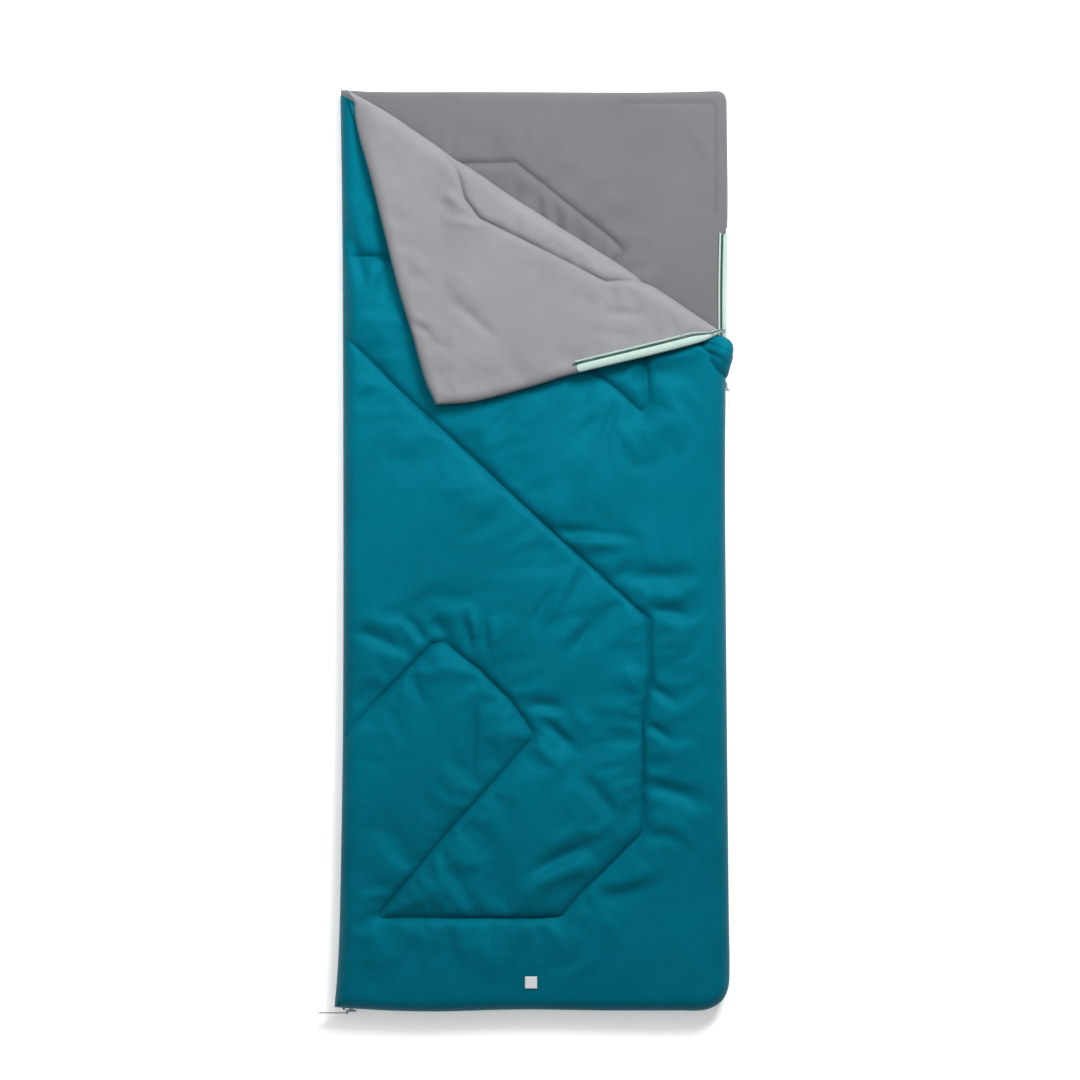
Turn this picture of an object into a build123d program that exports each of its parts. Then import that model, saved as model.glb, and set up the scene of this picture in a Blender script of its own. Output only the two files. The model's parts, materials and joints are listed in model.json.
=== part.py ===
from build123d import *
import math
import os

# Rectangular two-panel sleeping bag, lying flat, with its head-right corner folded back.
# Sizes in mm. +X is the wearer's right, +Y the head, +Z up; origin under the middle, on the floor.

# Panels, seen from above
PANEL_WIDTH = 790.0
PANEL_LENGTH = 1896.0
HEAD_CORNER_R = 14.0
FOOT_RIGHT_R = 46.0
FOOT_LEFT_R = 12.0

# Layers of each quilted panel
FABRIC = 1.0
PANEL_LOFT = 24.0
CAVITY = 10.0
FOLD_GAP = 1.0

# Fold line of the turned-back corner and the corner's tip as it lies
FOLD_LEFT = (-394.5, 940.0)
FOLD_RIGHT = (371.0, 415.0)
FOLD_LIP_LEFT = 10.0
FOLD_LIP_RIGHT = 22.0
FOLD_CLEARANCE = 2.0
FLAP_TIP = (-198.0, 299.0)
FLAP_SIDE_BULGE = (95.0, 357.0)
FLAP_TIP_R = 16.0
FLAP_FOLD_R = 8.0

# Two-way coil zip down the right side and along the foot
TAPE_THICKNESS = 1.2
TAPE_HEIGHT = 19.0
COIL_DEPTH = 4.0
COIL_HEIGHT = 3.0
COIL_GAP = 2.0
ZIP_TOP_Y = 655.0
ZIP_OPEN_Y = 345.0
ZIP_FOOT_END_X = -390.0
WEBBING_WIDTH = 18.0
WEBBING_THICKNESS = 1.2
FLAP_TAPE_WIDTH = 3.0
FLAP_COIL_WIDTH = 4.5
FLAP_ZIP_LENGTH = 292.0
FLAP_ZIP_START = 18.0
STOP_LENGTH = 5.0

# Sliders and pull tabs
SLIDER_LENGTH = 22.0
SLIDER_HEIGHT = 15.0
SLIDER_PLATE = 2.5
SLIDER_STANDOFF = 5.5
NECK_LENGTH = 8.0
NECK_HEIGHT = 1.2
INNER_PLATE_HEIGHT = 6.0
INNER_PLATE_THICKNESS = 2.0
LUG_HEIGHT = 2.0
PIN_R = 1.0
PIN_BACK = 8.0
PIN_OUT = 11.0
EYE_R = 2.5
EYE_BORE_R = 1.4
TAB_LENGTH = 60.0
TAB_HEIGHT = 8.0
TAB_THICKNESS = 1.6
SIDE_SLIDER_Y = 340.0
FOOT_SLIDER_X = -377.0

# Trim
HEM_THICKNESS = 2.5
HEM_HEIGHT = 15.0
STITCH_WIDTH = 1.6
STITCH_HEIGHT = 0.4
STITCH_INSET = 6.0
PATCH_SIDE = 25.0
PATCH_THICKNESS = 0.8
PATCH_CENTRE = (-4.0, -890.0)

# Heights of the stack
BOTTOM_TOP = PANEL_LOFT
TOP_BASE = BOTTOM_TOP + CAVITY
TOP_TOP = TOP_BASE + PANEL_LOFT
FLAP_BASE = TOP_TOP + FOLD_GAP
FLAP_TOP = FLAP_BASE + PANEL_LOFT
ZIP_MID = (BOTTOM_TOP + TOP_BASE) / 2

HALF_W = PANEL_WIDTH / 2
HALF_L = PANEL_LENGTH / 2
FAR = 3 * PANEL_LENGTH

# Directions along the fold line and across it, toward the head-right corner
fold_run = Vector(FOLD_RIGHT[0] - FOLD_LEFT[0], FOLD_RIGHT[1] - FOLD_LEFT[1], 0).normalized()
fold_across = Vector(-fold_run.Y, fold_run.X, 0)


def save(shape, name):
    export_step(shape, f"parts/{name}.step")


def slab(plan, low, high):
    """A flat layer with the given outline between two heights."""
    return Pos(0, 0, low) * extrude(plan, high - low, dir=(0, 0, 1))


def block(x, y, z):
    """A box from three (low, high) pairs."""
    corner = (Align.MIN, Align.MIN, Align.MIN)
    return Pos(x[0], y[0], z[0]) * Box(x[1] - x[0], y[1] - y[0], z[1] - z[0], align=corner)


def rounded(plan, point, radius):
    """The outline with the corner nearest to a point rounded."""
    corner = plan.vertices().sort_by_distance(Vector(point[0], point[1], 0))[0]
    return fillet(corner, radius)


def beside_fold(point, across):
    """A point moved sideways from the fold line, toward the head-right corner."""
    moved = Vector(point[0], point[1], 0) + fold_across * across
    return (moved.X, moved.Y)


def tray(plan, low, high, sheet_low):
    """A shell: one fabric sheet and walls, around the space the filling takes."""
    inner = offset(plan, -FABRIC)
    filling_low, filling_high = (low + FABRIC, high) if sheet_low else (low, high - FABRIC)
    return slab(plan, low, high) - slab(inner, filling_low, filling_high)


def quilted_panel(plan, low, shell_down):
    """Shell, filling and lining of one panel, the shell side below or above."""
    inner = offset(plan, -FABRIC)
    high = low + PANEL_LOFT
    shell = tray(plan, low, high, shell_down)
    filling = slab(inner, low + FABRIC, high - FABRIC)
    lining_low = high - FABRIC if shell_down else low
    lining = slab(inner, lining_low, lining_low + FABRIC)
    return shell, filling, lining


# Outlines
panel_plan = Rectangle(PANEL_WIDTH, PANEL_LENGTH)
panel_plan = rounded(panel_plan, (-HALF_W, HALF_L), HEAD_CORNER_R)
panel_plan = rounded(panel_plan, (HALF_W, HALF_L), HEAD_CORNER_R)
panel_plan = rounded(panel_plan, (HALF_W, -HALF_L), FOOT_RIGHT_R)
panel_plan = rounded(panel_plan, (-HALF_W, -HALF_L), FOOT_LEFT_R)

cut_left = beside_fold(FOLD_LEFT, -FOLD_LIP_LEFT - FOLD_CLEARANCE)
cut_right = beside_fold(FOLD_RIGHT, -FOLD_LIP_RIGHT - FOLD_CLEARANCE)
cut_run = Vector(cut_right[0] - cut_left[0], cut_right[1] - cut_left[1], 0).normalized()
cut_start = Vector(cut_left[0], cut_left[1], 0) - cut_run * HALF_W
cut_end = Vector(cut_right[0], cut_right[1], 0) + cut_run * HALF_W
cut_away = make_face(
    Polyline(
        (cut_start.X, cut_start.Y),
        (cut_end.X, cut_end.Y),
        (cut_end.X, FAR),
        (cut_start.X, FAR),
        close=True,
    )
)
top_plan = panel_plan - cut_away

lip_left = beside_fold(FOLD_LEFT, FOLD_LIP_LEFT)
lip_right = beside_fold(FOLD_RIGHT, FOLD_LIP_RIGHT)
flap_plan = make_face(
    [
        Line(lip_left, FLAP_TIP),
        ThreePointArc(FLAP_TIP, FLAP_SIDE_BULGE, lip_right),
        Line(lip_right, lip_left),
    ]
)
flap_plan = rounded(flap_plan, FLAP_TIP, FLAP_TIP_R)
flap_plan = rounded(flap_plan, lip_left, FLAP_FOLD_R)
flap_plan = rounded(flap_plan, lip_right, FLAP_FOLD_R)

os.makedirs("parts", exist_ok=True)

# Bottom panel, top panel and turned-back corner
shell, filling, lining = quilted_panel(panel_plan, 0.0, True)
save(shell, "bottom_outer_shell")
save(filling, "bottom_insulation")
save(lining, "bottom_lining")

shell, filling, lining = quilted_panel(top_plan, TOP_BASE, False)
save(shell, "top_outer_shell")
save(filling, "top_insulation")
save(lining, "top_lining")

shell, filling, lining = quilted_panel(flap_plan, FLAP_BASE, True)
save(shell, "flap_outer_shell")
save(filling, "flap_insulation")
save(lining, "flap_lining")

# Left side, where the two panels are joined
seam_y = (-HALF_L + FOOT_LEFT_R, HALF_L - 2 * HEAD_CORNER_R)
save(
    block((-HALF_W - FABRIC, -HALF_W), seam_y, (BOTTOM_TOP - HEM_HEIGHT, TOP_BASE + HEM_HEIGHT)),
    "left_side_seam",
)


# Zip: strips that follow the edge of the panel, the foot ones with the round corner
def edge_strip(near, far, low, high, zone):
    """A strip between two distances outside the panel's edge, within a zone."""
    outer = offset(panel_plan, far)
    inner = offset(panel_plan, near) if near else panel_plan
    return slab((outer - inner) & zone, low, high)


def side_zone(end_y):
    """The right side from the round foot corner up to a Y."""
    start_y = -HALF_L + FOOT_RIGHT_R
    return Pos(HALF_W, (start_y + end_y) / 2) * Rectangle(FOOT_RIGHT_R, end_y - start_y)


foot_length = HALF_W + FOOT_RIGHT_R - ZIP_FOOT_END_X
foot_zone = Pos(ZIP_FOOT_END_X + foot_length / 2, -HALF_L) * Rectangle(
    foot_length, 2 * FOOT_RIGHT_R
)
lower_coil_top = ZIP_MID - COIL_GAP / 2
lower_coil_low = lower_coil_top - COIL_HEIGHT
upper_coil_low = ZIP_MID + COIL_GAP / 2
upper_coil_top = upper_coil_low + COIL_HEIGHT
lower_tape = (lower_coil_low - TAPE_HEIGHT, lower_coil_low)
upper_tape = (upper_coil_top, upper_coil_top + TAPE_HEIGHT)

zip_runs = {
    "lower_side": (side_zone(ZIP_TOP_Y), lower_tape, (lower_coil_low, lower_coil_top)),
    "lower_foot": (foot_zone, lower_tape, (lower_coil_low, lower_coil_top)),
    "upper_side": (side_zone(ZIP_OPEN_Y), upper_tape, (upper_coil_low, upper_coil_top)),
    "upper_foot": (foot_zone, upper_tape, (upper_coil_low, upper_coil_top)),
}
for run_name, (zone, tape_z, coil_z) in zip_runs.items():
    save(edge_strip(0, TAPE_THICKNESS, *tape_z, zone), f"zip_tape_{run_name}")
    save(edge_strip(0, COIL_DEPTH, *coil_z, zone), f"zip_coil_{run_name}")

webbing_x = (HALF_W + TAPE_THICKNESS, HALF_W + TAPE_THICKNESS + WEBBING_THICKNESS)
webbing_z = (lower_coil_low - WEBBING_WIDTH, lower_coil_low - FABRIC)
save(block(webbing_x, (ZIP_OPEN_Y, ZIP_TOP_Y), webbing_z), "zip_webbing_bottom")

# The turned-back corner's half of the zip, along its free side edge, lining side up
flap_side = Vector(lip_right[0] - FLAP_TIP[0], lip_right[1] - FLAP_TIP[1], 0)
flap_side_angle = math.degrees(math.atan2(flap_side.Y, flap_side.X))
zip_centre = Vector(*lip_right, 0) - flap_side.normalized() * (FLAP_ZIP_START + FLAP_ZIP_LENGTH / 2)
flap_zone = (
    Pos(zip_centre.X, zip_centre.Y)
    * Rot(0, 0, flap_side_angle)
    * Rectangle(FLAP_ZIP_LENGTH, 4 * WEBBING_WIDTH)
)


def flap_strip(near, far, height):
    """A strip between two distances inside the flap's edge, on its lining."""
    outer = offset(flap_plan, -near) if near else flap_plan
    return slab((outer - offset(flap_plan, -far)) & flap_zone, FLAP_TOP, FLAP_TOP + height)


coil_far = WEBBING_WIDTH + FLAP_COIL_WIDTH
save(flap_strip(0, WEBBING_WIDTH, WEBBING_THICKNESS), "zip_webbing_flap")
save(flap_strip(WEBBING_WIDTH, coil_far, COIL_HEIGHT / 2), "zip_coil_flap")
save(flap_strip(coil_far, coil_far + FLAP_TAPE_WIDTH, TAPE_THICKNESS), "zip_tape_flap")

stop_centre = zip_centre - flap_side.normalized() * (FLAP_ZIP_LENGTH + STOP_LENGTH) / 2
flap_stop = (
    Pos(stop_centre.X, stop_centre.Y)
    * Rot(0, 0, flap_side_angle)
    * Rectangle(STOP_LENGTH, 4 * WEBBING_WIDTH)
)
flap_stop = (offset(flap_plan, -WEBBING_WIDTH) - offset(flap_plan, -coil_far)) & flap_stop
save(slab(flap_stop, FLAP_TOP, FLAP_TOP + COIL_HEIGHT / 2), "zip_top_stop_flap")

side_stop = block(
    (HALF_W, HALF_W + COIL_DEPTH),
    (ZIP_TOP_Y, ZIP_TOP_Y + STOP_LENGTH),
    (lower_coil_low, lower_coil_top),
)
save(side_stop, "zip_top_stop_bottom")
foot_stop = block(
    (ZIP_FOOT_END_X - STOP_LENGTH + FABRIC, ZIP_FOOT_END_X),
    (-HALF_L - COIL_DEPTH, -HALF_L + FOOT_LEFT_R / 2),
    (lower_coil_low, upper_coil_top),
)
save(foot_stop - slab(panel_plan, 0, FLAP_TOP), "zip_end_stop")


# Sliders: built for the foot, facing -Y with the panel's edge at Y 0, then placed
def make_slider():
    low = ZIP_MID - SLIDER_HEIGHT / 2
    high = ZIP_MID + SLIDER_HEIGHT / 2
    face_y = -SLIDER_STANDOFF - SLIDER_PLATE
    half = SLIDER_LENGTH / 2
    outer = block((-half, half), (face_y, -SLIDER_STANDOFF), (low, high))
    outer = fillet(outer.edges().filter_by(Axis.Y), SLIDER_HEIGHT / 4)
    neck = block(
        (-NECK_LENGTH / 2, NECK_LENGTH / 2),
        (-SLIDER_STANDOFF, FABRIC),
        (ZIP_MID - NECK_HEIGHT / 2, ZIP_MID + NECK_HEIGHT / 2),
    )
    inner = block(
        (-half + FABRIC, half - FABRIC),
        (FABRIC, FABRIC + INNER_PLATE_THICKNESS),
        (ZIP_MID - INNER_PLATE_HEIGHT / 2, ZIP_MID + INNER_PLATE_HEIGHT / 2),
    )
    slider = outer + neck + inner
    lug_reach = (-PIN_OUT - EYE_R / 2, face_y)
    lug_x = (-PIN_BACK - EYE_R, -PIN_BACK + EYE_R)
    slider += block(lug_x, lug_reach, (low + LUG_HEIGHT, low + 2 * LUG_HEIGHT))
    slider += block(lug_x, lug_reach, (high - 2 * LUG_HEIGHT, high - LUG_HEIGHT))
    slider += Pos(-PIN_BACK, -PIN_OUT, ZIP_MID) * Cylinder(PIN_R, SLIDER_HEIGHT - 2 * LUG_HEIGHT)
    return slider


def make_tab():
    eye_height = SLIDER_HEIGHT - 4 * LUG_HEIGHT - FABRIC
    tab_z = (ZIP_MID - eye_height / 2, ZIP_MID + eye_height / 2)
    eye = Pos(-PIN_BACK, -PIN_OUT, ZIP_MID) * Cylinder(EYE_R, eye_height)
    plate = block(
        (-PIN_BACK - TAB_LENGTH, -PIN_BACK),
        (-PIN_OUT - TAB_THICKNESS / 2, -PIN_OUT + TAB_THICKNESS / 2),
        tab_z,
    )
    tip = plate.edges().filter_by(Axis.Y).group_by(Axis.X)[0]
    plate = fillet(tip, eye_height / 2 - FABRIC / 2)
    grip = Pos(-PIN_BACK - TAB_LENGTH + TAB_HEIGHT, -PIN_OUT, ZIP_MID)
    plate -= grip * Rot(90, 0, 0) * Cylinder(EYE_R / 2, TAB_HEIGHT)
    bore = Pos(-PIN_BACK, -PIN_OUT, ZIP_MID) * Cylinder(EYE_BORE_R, SLIDER_HEIGHT)
    return eye + plate - bore


at_side = Pos(HALF_W, SIDE_SLIDER_Y, 0) * Rot(0, 0, 90)
at_foot = Pos(FOOT_SLIDER_X, -HALF_L, 0)
save(at_side * make_slider(), "side_slider")
save(at_side * make_tab(), "side_pull_tab")
save(at_foot * make_slider(), "foot_slider")
save(at_foot * make_tab(), "foot_pull_tab")

# Hems along the head opening
hem_z = ((PANEL_LOFT - HEM_HEIGHT) / 2, (PANEL_LOFT + HEM_HEIGHT) / 2)
hem_x = HALF_W - 2 * HEAD_CORNER_R
save(block((-hem_x, hem_x), (HALF_L, HALF_L + HEM_THICKNESS), hem_z), "head_hem_bottom")

head_edge = Vector(FLAP_TIP[0] - lip_left[0], FLAP_TIP[1] - lip_left[1], 0)
hem_middle = Vector(*lip_left, 0) + head_edge * 0.5
hem_length = head_edge.length - 4 * FLAP_TIP_R
hem_zone = (
    Pos(hem_middle.X, hem_middle.Y)
    * Rot(0, 0, math.degrees(math.atan2(head_edge.Y, head_edge.X)))
    * Rectangle(hem_length, 4 * HEM_THICKNESS)
)
flap_hem = (offset(flap_plan, HEM_THICKNESS) - flap_plan) & hem_zone
save(slab(flap_hem, FLAP_BASE + hem_z[0], FLAP_BASE + hem_z[1]), "head_hem_flap")


# Quilt stitching: raised threads on the faces that show
def stitching(lines, plan, low):
    """Narrow ribs along rounded lines, kept inside an outline."""
    ribs = Sketch()
    for points, radius in lines:
        ribs += trace(FilletPolyline(*points, radius=radius), line_width=STITCH_WIDTH)
    return slab(ribs & offset(plan, -STITCH_INSET), low, low + STITCH_HEIGHT)


body_quilt = (
    [
        (-HALF_W, 450),
        (235, -140),
        (242, -270),
        (226, -350),
        (228, -580),
        (135, -660),
        (66, -758),
        (-325, -758),
        (-170, -578),
        (0, -380),
        (-185, -192),
        (-HALF_W, -398),
    ],
    14.0,
)
head_quilt = (
    [
        (-HALF_W, 797),
        (-40, 803),
        (188, 630),
        (216, 560),
        (236, 361),
        (234, 276),
        (-120, 605),
        (-HALF_W, 607),
    ],
    12.0,
)
flap_quilt = ([(-160, 800), (-112, 680), (149, 552), (225, 560)], 25.0)

save(stitching([body_quilt], top_plan, TOP_TOP), "quilt_stitching_top")
save(stitching([body_quilt, head_quilt], panel_plan, BOTTOM_TOP), "quilt_stitching_bottom")
save(stitching([flap_quilt], flap_plan, FLAP_TOP), "quilt_stitching_flap")

# Blank sewn patch near the foot
patch_x, patch_y = PATCH_CENTRE
patch = Pos(patch_x, patch_y, TOP_TOP + PATCH_THICKNESS / 2)
save(patch * Box(PATCH_SIDE, PATCH_SIDE, PATCH_THICKNESS), "sewn_patch")
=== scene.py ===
import json
import math

import bpy
import numpy as np
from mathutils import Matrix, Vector
from mathutils.bvhtree import BVHTree
from mathutils.geometry import delaunay_2d_cdt


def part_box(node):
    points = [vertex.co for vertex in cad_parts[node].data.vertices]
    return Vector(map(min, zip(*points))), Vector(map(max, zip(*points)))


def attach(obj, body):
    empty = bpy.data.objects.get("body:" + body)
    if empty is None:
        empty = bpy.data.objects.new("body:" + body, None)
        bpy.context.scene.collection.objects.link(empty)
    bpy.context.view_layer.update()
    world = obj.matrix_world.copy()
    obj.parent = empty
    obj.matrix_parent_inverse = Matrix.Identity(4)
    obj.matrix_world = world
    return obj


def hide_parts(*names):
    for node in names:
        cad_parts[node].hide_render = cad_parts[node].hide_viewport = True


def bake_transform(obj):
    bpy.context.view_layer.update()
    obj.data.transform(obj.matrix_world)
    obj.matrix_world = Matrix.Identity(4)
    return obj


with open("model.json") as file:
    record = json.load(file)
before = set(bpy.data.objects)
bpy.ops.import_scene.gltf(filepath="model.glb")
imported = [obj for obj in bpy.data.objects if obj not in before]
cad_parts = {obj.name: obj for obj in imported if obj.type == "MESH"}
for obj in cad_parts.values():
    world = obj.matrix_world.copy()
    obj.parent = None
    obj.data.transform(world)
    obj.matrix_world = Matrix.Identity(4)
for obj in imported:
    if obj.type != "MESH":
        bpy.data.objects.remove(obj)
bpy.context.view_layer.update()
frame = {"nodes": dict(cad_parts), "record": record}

MM = 0.001
RNG = np.random.default_rng(7)

# ---------------- camera, floor and light
PICTURE_SIDE = 2.225
CAMERA_HEIGHT = 5.0
SENSOR = 36.0
TOP_PLANE = 0.058
camera_data = bpy.data.cameras.new("camera")
camera_data.sensor_width = SENSOR
camera_data.lens = SENSOR * (CAMERA_HEIGHT - TOP_PLANE) / PICTURE_SIDE
camera = bpy.data.objects.new("camera", camera_data)
bpy.context.scene.collection.objects.link(camera)
camera.location = (0.0145, 0.0206, CAMERA_HEIGHT)
bpy.context.scene.camera = camera


def area_light(name, place, aim, size, power):
    """A soft square lamp that faces a point."""
    data = bpy.data.lights.new(name, "AREA")
    data.shape = "SQUARE"
    data.size = size
    data.energy = power
    lamp = bpy.data.objects.new(name, data)
    lamp.location = place
    lamp.rotation_euler = (Vector(aim) - Vector(place)).to_track_quat("-Z", "Y").to_euler()
    bpy.context.scene.collection.objects.link(lamp)
    return lamp


area_light("key", (1.2, 2.4, 2.6), (0.0, 0.0, 0.0), 1.2, 172)
area_light("near", (-0.35, 0.75, 1.75), (-0.35, 0.5, 0.0), 0.9, 12)
area_light("fill", (-2.4, 0.6, 2.6), (0, 0, 0), 2.4, 12)
area_light("overhead", (0.0, 0.0, 4.7), (0, 0, 0), 3.0, 10)
world = bpy.data.worlds.new("studio")
world.use_nodes = True
world.node_tree.nodes["Background"].inputs["Color"].default_value = (1.0, 1.0, 1.0, 1.0)
world.node_tree.nodes["Background"].inputs["Strength"].default_value = 0.34
bpy.context.scene.world = world
bpy.context.scene.view_settings.view_transform = "Standard"


# ---------------- materials
def new_material(name, roughness, sheen=0.0, sheen_roughness=0.4, metallic=0.0, tint=None):
    """A principled material; tint colours the cloth's gloss and sheen."""
    material = bpy.data.materials.new(name)
    material.use_nodes = True
    shader = material.node_tree.nodes["Principled BSDF"]
    shader.inputs["Roughness"].default_value = roughness
    shader.inputs["Sheen Weight"].default_value = sheen
    shader.inputs["Sheen Roughness"].default_value = sheen_roughness
    shader.inputs["Metallic"].default_value = metallic
    if tint:
        shader.inputs["Specular Tint"].default_value = (*tint, 1)
        shader.inputs["Sheen Tint"].default_value = (*tint, 1)
    return material, material.node_tree, shader


def node(tree, kind, **values):
    """A node with its properties and input defaults set by name."""
    made = tree.nodes.new(kind)
    for key, value in values.items():
        if key in made.inputs:
            made.inputs[key].default_value = value
        else:
            setattr(made, key, value)
    return made


def own_place(tree):
    """The piece's own coordinates, in metres."""
    return tree.nodes.new("ShaderNodeTexCoord").outputs["Object"]


def noise(tree, place, scale, detail=3.0, roughness=0.55):
    made = node(tree, "ShaderNodeTexNoise", Scale=scale, Detail=detail, Roughness=roughness)
    tree.links.new(place, made.inputs["Vector"])
    return made.outputs["Fac"]


def stripes(tree, place, direction, period, distortion=0.0):
    """A sine of one direction, as threads of a weave."""
    made = node(tree, "ShaderNodeTexWave", bands_direction=direction, wave_profile="SIN")
    made.inputs["Scale"].default_value = math.pi / (10 * period)
    made.inputs["Distortion"].default_value = distortion
    tree.links.new(place, made.inputs["Vector"])
    return made.outputs["Fac"]


def ramp(tree, factor, low, high, start=0.3, end=0.7):
    made = tree.nodes.new("ShaderNodeValToRGB")
    made.color_ramp.elements[0].position = start
    made.color_ramp.elements[1].position = end
    made.color_ramp.elements[0].color = (*low, 1)
    made.color_ramp.elements[1].color = (*high, 1)
    tree.links.new(factor, made.inputs["Fac"])
    return made.outputs["Color"]


def mixed(tree, kind, factor, first, second):
    """Two colours combined; factor is a number or an output."""
    made = node(tree, "ShaderNodeMix", data_type="RGBA", blend_type=kind)
    slots = made.inputs
    if isinstance(factor, float):
        slots[0].default_value = factor
    else:
        tree.links.new(factor, slots[0])
    tree.links.new(first, slots[6])
    tree.links.new(second, slots[7])
    return made.outputs[2]


def maths(tree, kind, first, second):
    made = node(tree, "ShaderNodeMath", operation=kind)
    for socket, value in zip(made.inputs, (first, second)):
        if isinstance(value, (int, float)):
            socket.default_value = value
        else:
            tree.links.new(value, socket)
    return made.outputs[0]


def bumps(tree, shader, height, strength, distance):
    made = node(tree, "ShaderNodeBump", Strength=strength, Distance=distance)
    tree.links.new(height, made.inputs["Height"])
    tree.links.new(made.outputs["Normal"], shader.inputs["Normal"])


def uneven_gloss(tree, shader, factor, low, high):
    """Roughness that varies with a texture."""
    rough = node(tree, "ShaderNodeMapRange")
    rough.inputs["To Min"].default_value = low
    rough.inputs["To Max"].default_value = high
    tree.links.new(factor, rough.inputs["Value"])
    tree.links.new(rough.outputs["Result"], shader.inputs["Roughness"])


def shade(colour, factor):
    return tuple(min(1.0, c * factor) for c in colour)


def fabric(name, colour, roughness, sheen, period, patchiness=0.12, weave=0.35, fuzz=0.0, tint=None):
    """Woven cloth: cloudy tone, thread lines both ways, fine slubs."""
    material, tree, shader = new_material(name, roughness, sheen, tint=tint)
    place = own_place(tree)
    clouds = noise(tree, place, 7.0, 4.0)
    tone = ramp(tree, clouds, shade(colour, 1 - patchiness), shade(colour, 1 + patchiness))
    warp = stripes(tree, place, "X", period, 0.4)
    weft = stripes(tree, place, "Y", period, 0.4)
    threads = maths(tree, "MULTIPLY", warp, weft)
    slubs = noise(tree, place, 420.0, 2.0)
    weave_part, slub_part = maths(tree, "MULTIPLY", threads, 0.6), maths(tree, "MULTIPLY", slubs, 0.5)
    grain = maths(tree, "ADD", weave_part, slub_part)
    speck = ramp(tree, grain, (1 - weave * 0.5,) * 3, (1.0, 1.0, 1.0), 0.15, 0.75)
    tree.links.new(mixed(tree, "MULTIPLY", 1.0, tone, speck), shader.inputs["Base Color"])
    uneven_gloss(tree, shader, slubs, roughness - 0.06, min(1.0, roughness + 0.1))
    if fuzz:
        pile = noise(tree, place, 900.0, 3.0)
        grain = maths(tree, "ADD", grain, maths(tree, "MULTIPLY", pile, fuzz))
    bumps(tree, shader, grain, 0.35, 0.0004)
    return material


def twill(name, colour):
    """Woven tape with a diagonal rib."""
    material, tree, shader = new_material(name, 0.72, 0.25)
    place = own_place(tree)
    ribs = stripes(tree, place, "DIAGONAL", 0.0021, 0.3)
    dirt = noise(tree, place, 26.0, 4.0)
    tone = ramp(tree, ribs, shade(colour, 0.8), shade(colour, 1.06), 0.2, 0.8)
    wear = ramp(tree, dirt, (0.9, 0.92, 0.91), (1, 1, 1))
    tree.links.new(mixed(tree, "MULTIPLY", 1.0, tone, wear), shader.inputs["Base Color"])
    bumps(tree, shader, ribs, 0.5, 0.0005)
    return material


def plastic(name, colour):
    """Slightly scuffed moulded nylon."""
    material, tree, shader = new_material(name, 0.42)
    place = own_place(tree)
    scuffs = noise(tree, place, 180.0, 5.0)
    tone = ramp(tree, scuffs, shade(colour, 0.75), shade(colour, 1.3))
    tree.links.new(tone, shader.inputs["Base Color"])
    bumps(tree, shader, scuffs, 0.2, 0.0003)
    return material


def metal(name, colour):
    """Satin cast zinc with fine wear."""
    material, tree, shader = new_material(name, 0.33, metallic=1.0)
    place = own_place(tree)
    wear = noise(tree, place, 260.0, 6.0)
    tone = ramp(tree, wear, shade(colour, 0.78), shade(colour, 1.1))
    tree.links.new(tone, shader.inputs["Base Color"])
    uneven_gloss(tree, shader, wear, 0.24, 0.46)
    bumps(tree, shader, wear, 0.15, 0.0002)
    return material


TEAL = (0.0003, 0.092, 0.136)
TEAL_GLOSS = (0.01, 0.60, 0.78)
GREY = (0.187, 0.189, 0.204)
MINT = (0.37, 0.49, 0.44)
shell_fabric = fabric("shell_fabric", TEAL, 0.58, 0.04, 0.0011, 0.10, 0.25, tint=TEAL_GLOSS)
lining_fabric = fabric("lining_fabric", GREY, 0.86, 0.12, 0.0013, 0.06, 0.3, 0.5)
# Painted shade: the same grey lining cloth darkened to 0.61, for the bottom panel's lining, which lies lower
# and in the corner's shade
lining_fabric_painted_shade = fabric("lining_fabric_painted_shade", shade(GREY, 0.61), 0.88, 0.08, 0.0013, 0.06, 0.3, 0.5)
zip_tape_fabric = twill("zip_tape", shade(MINT, 0.92))
webbing_fabric = twill("webbing", MINT)
hem_fabric = fabric("hem_binding", (0.020, 0.125, 0.155), 0.7, 0.1, 0.0012)
inner_hem_fabric = fabric("inner_hem_binding", shade(GREY, 0.85), 0.85, 0.1, 0.0012)
# Thread darker than its cloth (0.45), so each quilt seam shows as a crisp dark line: partly the thread's own
# colour, partly painted shade of the seam's groove
thread_teal_and_seam_shade = fabric("shell_thread", shade(TEAL, 0.45), 0.6, 0.05, 0.0006, tint=TEAL_GLOSS)
thread_grey_and_seam_shade = fabric("lining_thread", shade(GREY, 0.45), 0.6, 0.1, 0.0006)
patch_fabric = fabric("patch_fabric", (0.60, 0.61, 0.62), 0.75, 0.2, 0.0009, 0.03, 0.2)
coil_plastic = plastic("zip_coil", (0.012, 0.085, 0.075))
slider_metal = metal("slider_metal", (0.42, 0.44, 0.46))


# ---------------- plane geometry, in metres
def mm(points):
    return np.array(points, float) * MM


def unit(v):
    return v / np.linalg.norm(v)


def at_height(line, z):
    """A plane line raised to one height, or to a height for each point."""
    return np.column_stack([line, np.broadcast_to(z, len(line))])


def run_along(line):
    """How far along a line each of its points is."""
    return np.concatenate([[0], np.cumsum(np.linalg.norm(np.diff(line, axis=0), axis=1))])


def spaced(line, step):
    """A polyline with points about step apart, ends kept."""
    run = run_along(line)
    at = np.linspace(0, run[-1], max(2, round(run[-1] / step) + 1))
    return np.stack([np.interp(at, run, line[:, k]) for k in range(line.shape[1])], axis=1)


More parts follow.
